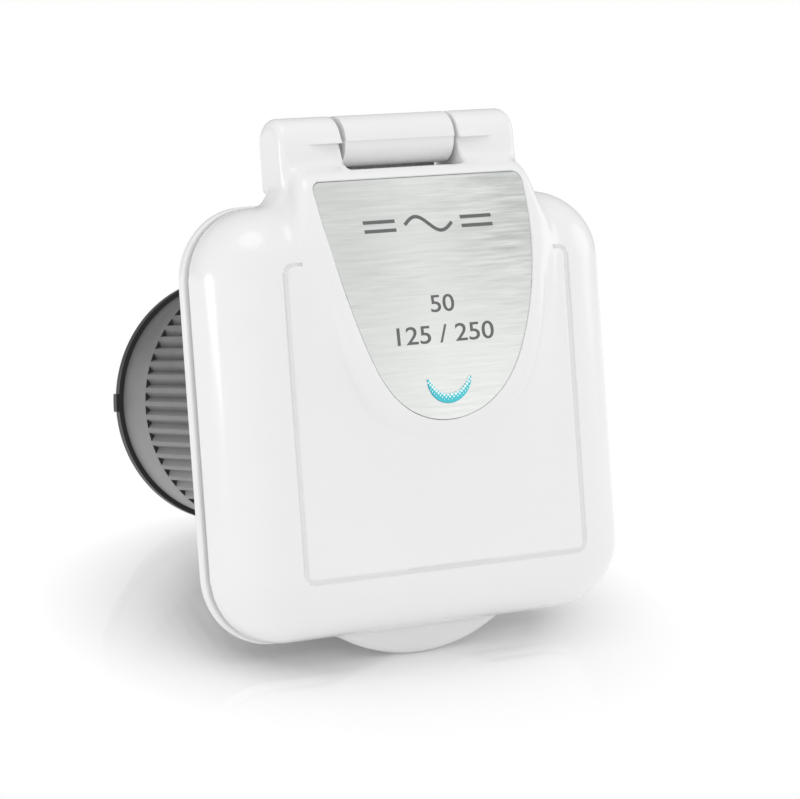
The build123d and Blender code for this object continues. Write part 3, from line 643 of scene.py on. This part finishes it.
def crescent_light():
    """The turquoise lens: clear colour below, breaking into rows of dots towards its top edge."""
    f = Finish("turquoise_lens", Roughness=0.22, Coat_Weight=0.2, Emission_Strength=0.10)
    x, _, z = f.mm()
    high = z - LENS_ARC_Z
    rise = 1.0 - ((x * x + high * high) ** 0.5 - LENS_ARC_R) / LENS_FADE
    pitch, widest_dot = 1.25, 0.66
    du = ((x + z) % pitch - pitch / 2).abs()
    dv = ((x - z) % pitch - pitch / 2).abs()
    dot = (du * du + dv * dv) ** 0.5 < rise.held() * widest_dot
    dark, clear = (0.028, 0.46, 0.56, 1.0), (0.05, 0.55, 0.62, 1.0)
    deep = f.mix(f.noise(f.place, 300.0, 2.0), dark, clear)
    colour = f.mix(dot, deep, (0.80, 0.93, 0.93, 1.0))
    f.feed("Base Color", colour).feed("Emission Color", colour)
    f.bump(f.noise(f.place, 900.0, 2.0), 0.006)
    return f.material


def turned_metal(name, colour, gloss, across=(3000.0, 300.0, 300.0)):
    """Bright metal with fine tool marks and a faint tarnish."""
    f = Finish(name, Metallic=1.0)
    marks = f.noise(f.stretched(*across), 1.0, 3.0)
    tarnish = f.noise(f.place, 210.0, 4.0, 0.6)
    f.feed("Base Color", f.mix(tarnish.past(0.4, 2.2), colour, darkened(colour, 0.72)))
    f.feed("Roughness", gloss + tarnish.swing(0.18) + marks.swing(0.12))
    f.bump(marks, 0.008)
    return f.material


def ribbed_nylon():
    """The barrel's dark grey nylon: fine grain, paler patches on the crests, and painted shade
    darkening its top and the steps that face front.
    """
    f = Finish("grey_nylon", Specular_IOR_Level=0.45)
    x, _, z = f.mm()
    out = (x * x + z * z) ** 0.5
    crest = out.past(BARREL_CREST_R, 1.4)
    blotches = f.noise(f.stretched(160.0, 40.0, 160.0), 1.0, 4.0, 0.7)
    grain = f.noise(f.place, 3200.0, 2.0)
    # Painted shade: the nylon is painted darker towards the top of the barrel, where less light
    # falls; the cloud only varies the tone.
    height = z.past(-BARREL_SHADE_HALF, 0.5 / BARREL_SHADE_HALF)
    cloud = f.noise(f.place, 60.0, 3.0).swing(0.3)
    base = f.mix(height + cloud, grey(0.28), grey(0.095))
    # The outer crests are made paler in patches.
    paler_crests = f.mix(crest * blotches.past(0.35, 1.6), base, grey(0.235))
    # Painted shade: faces that look to the front, the steps where the grooves end, are painted
    # near black.
    _, facing, _ = f.axes(f.node("ShaderNodeTexCoord", out="Normal"))
    step = facing.past(-0.55, -4.0)
    f.feed("Base Color", f.mix(step, paler_crests, grey(0.045)))
    f.feed("Roughness", 0.46 + grain.swing(0.12) + blotches.swing(0.12))
    f.bump(grain, 0.03)
    return f.material


def board_green():
    """A lacquered circuit board with copper tracks under the lacquer."""
    f = Finish("board_green", Roughness=0.35, Coat_Weight=0.5)
    x, _, z = f.mm()
    pitch_x, pitch_z, half_w, half_h = 1.6, 2.4, 0.28, 0.9
    across = (x % pitch_x - pitch_x / 2).abs() < half_w
    along = (z % pitch_z - pitch_z / 2).abs() < half_h
    track = across * along
    weave = f.noise(f.place, 1500.0, 2.0)
    base = f.mix(weave, (0.01, 0.11, 0.04, 1.0), (0.02, 0.17, 0.06, 1.0))
    f.feed("Base Color", f.mix(track, base, (0.08, 0.30, 0.10, 1.0)))
    f.bump(track, 0.03)
    return f.material


def rubber_black():
    """Moulded rubber: dull, with a bloom and a fine pitted skin."""
    f = Finish("rubber_black", Specular_IOR_Level=0.35)
    bloom = f.noise(f.place, 140.0, 5.0, 0.6)
    pits = f.noise(f.place, 2600.0, 2.0)
    f.feed("Base Color", f.mix(bloom, grey(0.018), grey(0.036)))
    f.feed("Roughness", 0.66 + bloom.swing(0.2))
    f.bump(pits, 0.025)
    return f.material


def print_ink():
    """The dark grey print on the steel, with slightly starved edges."""
    f = Finish("grey_ink", Specular_IOR_Level=0.3)
    starved = f.noise(f.place, 1900.0, 3.0)
    f.feed("Base Color", f.mix(starved, grey(0.12), grey(0.165)))
    f.feed("Roughness", 0.52 + starved.swing(0.2))
    return f.material


def finishes():
    """Every finish, by the record's slot name."""
    clear = dict(Coat_Weight=0.35, Coat_Roughness=0.07)
    black = (0.028, 0.028, 0.030, 1.0)
    nylon_black = (0.030, 0.030, 0.031, 1.0)
    lamp = dict(
        Transmission_Weight=0.5,
        Emission_Color=(0.2, 0.8, 0.85, 1.0),
        Emission_Strength=0.3,
    )
    brass, brass_marks = (0.80, 0.60, 0.27, 1.0), (700.0, 90.0, 700.0)
    screw, screw_marks = (0.66, 0.66, 0.67, 1.0), (500.0, 500.0, 500.0)
    pin, spring = (0.62, 0.62, 0.61, 1.0), (0.50, 0.49, 0.47, 1.0)
    return {
        "gloss_white": moulded("lid_white", grey(0.86), 0.20, 0.9, 0.0015, **clear),
        "white_plastic": moulded("base_white", grey(0.85), 0.25, 0.7, 0.002, Coat_Weight=0.2),
        "black_rubber": rubber_black(),
        "stainless_steel": turned_metal("pin_stainless", pin, 0.24),
        "spring_steel": turned_metal("spring_wire", spring, 0.30),
        "screw_steel": turned_metal("screw_steel", screw, 0.22, screw_marks),
        "black_insulator": moulded("thermoset_black", black, 0.38, 0.35, 0.02),
        "brass": turned_metal("brass_contact", brass, 0.22, brass_marks),
        "led_lens": moulded("lamp_lens", (0.25, 0.70, 0.74, 1.0), 0.12, 0.8, 0.003, **lamp),
        "circuit_board": board_green(),
        "dark_plastic": ribbed_nylon(),
        "black_plastic": moulded("nylon_black", nylon_black, 0.42, 0.3, 0.03),
        "brushed_steel": brushed_steel(),
        "turquoise_lens": crescent_light(),
    }


def paint(obj, material):
    obj.data.materials.clear()
    obj.data.materials.append(material)


# ---- small pieces -------------------------------------------------------------------------------
MARK_STANDS, MARK_T = 0.03, 0.06
SYMBOL_Z, STROKE = 50.3, 0.95
WAVE_W, WAVE_H, BAR_FROM, BAR_TO, BAR_GAP = 15.0, 2.1, 10.5, 20.5, 1.25
# Each rating line: its name, its figures, their height, how much they are widened, and their Z.
RATINGS = [("rating_upper", "50", 4.8, 1.2, 28.0), ("rating_lower", "125 / 250", 5.0, 1.22, 19.6)]


def lay_on_plate(obj, name, material):
    """Wrap a flat mark, drawn in X and Z, onto the steel's curved front."""
    co = points_of(obj) / MM
    co[:, 1] += crown_y(co[:, 2]) + PLATE_SUNK - MARK_STANDS
    set_points(obj, co * MM)
    named(obj, name)
    paint(obj, material)
    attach(obj, "lid")


def rating_line(name, text, height, stretch, middle_z, material):
    """A line of figures printed on the steel."""
    deselect()
    bpy.ops.object.text_add()
    data = bpy.context.object.data
    data.body = text
    data.align_x = "CENTER"
    data.extrude = 0.5
    data.offset = 0.006
    data.resolution_u = 6
    take(bpy.context.object)
    bpy.ops.object.convert(target="MESH")
    obj = bpy.context.object
    co = points_of(obj)
    low, high = co.min(0), co.max(0)
    scale = height / (high[1] - low[1])
    flat = (co - (low + high) / 2) * scale
    depth = np.where(co[:, 2] > 0, -MARK_T / 2, MARK_T / 2)
    upright = np.stack([flat[:, 0] * stretch, depth, flat[:, 1] + middle_z], 1)
    set_points(obj, upright * MM)
    lay_on_plate(welded(obj), name, material)


def ribbon(points, width, name):
    """A flat strip of that width along points in X and Z, in mm, with a little thickness."""
    mesh = bpy.data.meshes.new(name)
    bm = bmesh.new()
    p = np.array(points, float)
    along = np.gradient(p, axis=0)
    square = np.stack([-along[:, 1], along[:, 0]], 1) / np.linalg.norm(along, axis=1)[:, None]
    rails = []
    for side, depth in ((1, -1), (-1, -1), (-1, 1), (1, 1)):
        line = p + square * side * width / 2
        rails.append([bm.verts.new((x * MM, depth * MARK_T / 2 * MM, z * MM)) for x, z in line])
    for a, b in zip(rails, rails[1:] + rails[:1]):
        for k in range(len(p) - 1):
            bm.faces.new((a[k], a[k + 1], b[k + 1], b[k]))
    for k in (0, -1):
        bm.faces.new([rail[k] for rail in rails])
    bmesh.ops.recalc_face_normals(bm, faces=bm.faces)
    bm.to_mesh(mesh)
    bm.free()
    return placed(name, mesh)


def current_symbol(material):
    """A plain alternating-current sign: one wave between a pair of bars each side."""
    wave_steps, bar_steps = 48, 12
    turns = [k / wave_steps for k in range(wave_steps + 1)]
    wave = [
        (WAVE_W * (turn - 0.5), SYMBOL_Z + WAVE_H * math.sin(2 * math.pi * turn)) for turn in turns
    ]
    lines = [ribbon(wave, STROKE, "wave")]
    for side in (-1, 1):
        for dz in (-BAR_GAP, BAR_GAP):
            along = np.linspace(BAR_FROM, BAR_TO, bar_steps)
            lines.append(ribbon([(side * x, SYMBOL_Z + dz) for x in along], STROKE, "bar"))
    deselect()
    for line in lines:
        line.select_set(True)
    bpy.context.view_layer.objects.active = lines[0]
    bpy.ops.object.join()
    lay_on_plate(bpy.context.object, "current_symbol", material)


def spring_leg(side, material):
    """The end of a hinge spring, where it crosses from the knuckle into the lid's ear."""
    middle, length = (LEG_START + LEG_END) / 2, LEG_END - LEG_START
    place = (side * middle, HINGE_Y, HINGE_Z + SPRING_COIL_R)
    name = "spring_leg_left" if side < 0 else "spring_leg_right"
    leg = rod(name, SPRING_WIRE_R, length, place, 24)
    apply_modifier(leg, "BEVEL", width=0.12 * MM, segments=2, limit_method="ANGLE")
    paint(leg, material)
    smooth(leg, LEG_SMOOTH_DEG)
    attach(leg, "lid")


# ---- studio -------------------------------------------------------------------------------------
# The camera: degrees to the left of straight ahead, degrees above level, degrees of roll.
CAMERA_TURN, CAMERA_PLACE = (29.028, 2.817, -3.962), (-0.4561, -0.8274, 0.0471)
CAMERA_LENS, CAMERA_SENSOR = 148.5, 36.0
TABLE_FOOT, TABLE_RIM, TABLE_R, TABLE_GAP = (0, -6.0, -71.5), (0, 107.1, -38.25), 0.75, 0.05
# The table fades into white round a point a step off its middle, both in mm. Where the fade
# starts and how long it takes are shares of its reach.
TABLE_FADE_REACH, TABLE_FADE_STEP, TABLE_FADE_FROM, TABLE_FADE_SPAN = 100.0, 25.0, 0.50, 0.45
# The sky's tones, each with its height from 0, level, to 1, straight up from the table. The sky
# dims towards the back, to a share that it reaches at that depth.
SKY = [(-0.3, 1.0), (0.1, 0.97), (0.35, 0.90), (0.55, 0.80), (0.74, 0.82), (0.92, 1.0)]
SKY_STRENGTH, SKY_BEHIND, SKY_BEHIND_AT = 1.03, 0.40, 0.9
# Each soft light: its name, where it stands and points in metres, its width and its watts.
SOFTBOXES = [
    ("key", (-0.35, -0.45, 1.3), (0, 0, 0), 0.8, 2.2),
    ("side", (-0.8, 0.25, 0.04), (0, 0.09, -0.02), 0.3, 0.9),
    ("right", (1.1, -0.25, 0.3), (0, 0, 0), 0.7, 0.9),
]


def camera():
    """The view from the left and a little above, leaning as the part is held."""
    azimuth, elevation, roll = (math.radians(angle) for angle in CAMERA_TURN)
    ahead = Vector(
        (
            math.sin(azimuth) * math.cos(elevation),
            math.cos(azimuth) * math.cos(elevation),
            -math.sin(elevation),
        )
    )
    level = Vector((math.cos(azimuth), -math.sin(azimuth), 0))
    above = level.cross(ahead)
    right = level * math.cos(roll) + above * math.sin(roll)
    up = above * math.cos(roll) - level * math.sin(roll)
    data = bpy.data.cameras.new("camera")
    data.sensor_width = CAMERA_SENSOR
    data.lens = CAMERA_LENS
    obj = placed("camera", data)
    turn = Matrix((right, up, -ahead)).transposed().to_4x4()
    turn.translation = Vector(CAMERA_PLACE)
    obj.matrix_world = turn
    bpy.context.scene.camera = obj


def softbox(name, place, target, size, watts):
    data = bpy.data.lights.new(name, "AREA")
    data.shape = "DISK"
    data.size = size
    data.energy = watts
    obj = placed(name, data)
    obj.location = place
    turn = (Vector(target) - Vector(place)).to_track_quat("-Z", "Y")
    obj.rotation_euler = turn.to_euler()


def table_finish():
    """Gloss white, fading outwards into plain white light."""
    f = Finish("table_white", Roughness=0.03, Specular_IOR_Level=0.7, Emission_Strength=0.06)
    f.shader.inputs["Emission Color"].default_value = grey(1.0)
    f.shader.inputs["Base Color"].default_value = grey(0.90)
    x, y, _ = f.mm()
    across, along = x / TABLE_FADE_REACH, (y + TABLE_FADE_STEP) / TABLE_FADE_REACH
    out = ((across * across + along * along) ** 0.5 - TABLE_FADE_FROM) / TABLE_FADE_SPAN
    glow = f.node("ShaderNodeEmission", None, {"Color": grey(1.0), "Strength": 1.0})
    gloss = Wire(f, f.shader.outputs[0])
    blend = f.node("ShaderNodeMixShader", None, {0: out.held(), 1: gloss, 2: glow})
    f.tree.links.new(blend.socket, f.tree.nodes["Material Output"].inputs["Surface"])
    return f.material


def table():
    """A round table under the pull tab and the barrel's rim. Returns which way it faces."""
    foot, rim = Vector(TABLE_FOOT) * MM, Vector(TABLE_RIM) * MM
    normal = Vector((1, 0, 0)).cross((rim - foot).normalized())
    deselect()
    bpy.ops.mesh.primitive_circle_add(vertices=128, radius=TABLE_R, fill_type="NGON")
    top = named(bpy.context.object, "table")
    lean = normal.to_track_quat("Z", "Y").to_matrix().to_4x4()
    top.matrix_world = Matrix.Translation((foot + rim) / 2 - normal * TABLE_GAP * MM) @ lean
    paint(top, table_finish())
    return normal


def sky(up):
    """Pure white to the camera, with softer light for the piece to be lit by and to reflect."""
    world = bpy.data.worlds.new("studio")
    bpy.context.scene.world = world
    world.use_nodes = True
    world.node_tree.nodes.clear()
    g = Nodes(world.node_tree)
    way = g.node("ShaderNodeTexCoord", out="Generated")
    dot = {"operation": "DOT_PRODUCT"}
    rise = g.node("ShaderNodeVectorMath", dot, {0: way, 1: up}, out="Value")
    stops = [((height + 1) / 2, grey(value)) for height, value in SKY]
    tone = g.node("ShaderNodeValToRGB", {"stops": stops}, {"Fac": (rise + 1.0) * 0.5})
    dimming = {
        "Value": g.axes(way)[1],
        "From Max": SKY_BEHIND_AT,
        "To Min": SKY_STRENGTH,
        "To Max": SKY_STRENGTH * SKY_BEHIND,
    }
    strength = g.node("ShaderNodeMapRange", None, dimming)
    lit = g.node("ShaderNodeBackground", None, {"Color": tone, "Strength": strength})
    white = g.node("ShaderNodeBackground", None, {"Color": grey(1.0)})
    seen = g.node("ShaderNodeLightPath", out="Is Camera Ray")
    blend = g.node("ShaderNodeMixShader", None, {0: seen, 1: lit, 2: white})
    g.node("ShaderNodeOutputWorld", None, {0: blend})


# ---- put together -------------------------------------------------------------------------------
camera()
sky(table())
for light in SOFTBOXES:
    softbox(*light)
bpy.context.scene.view_settings.view_transform = "Standard"

slots = finishes()
node_slot = {part["node"]: part["material_slot"] for part in frame["record"]["subparts"]}
for node, cad in NODES.items():
    paint(cad, slots[node_slot[node]])

lid = lid_moulding()
paint(lid, slots["gloss_white"])
ink = print_ink()
current_symbol(ink)
for rating in RATINGS:
    rating_line(*rating, ink)
for side in (-1, 1):
    spring_leg(side, slots["spring_steel"])
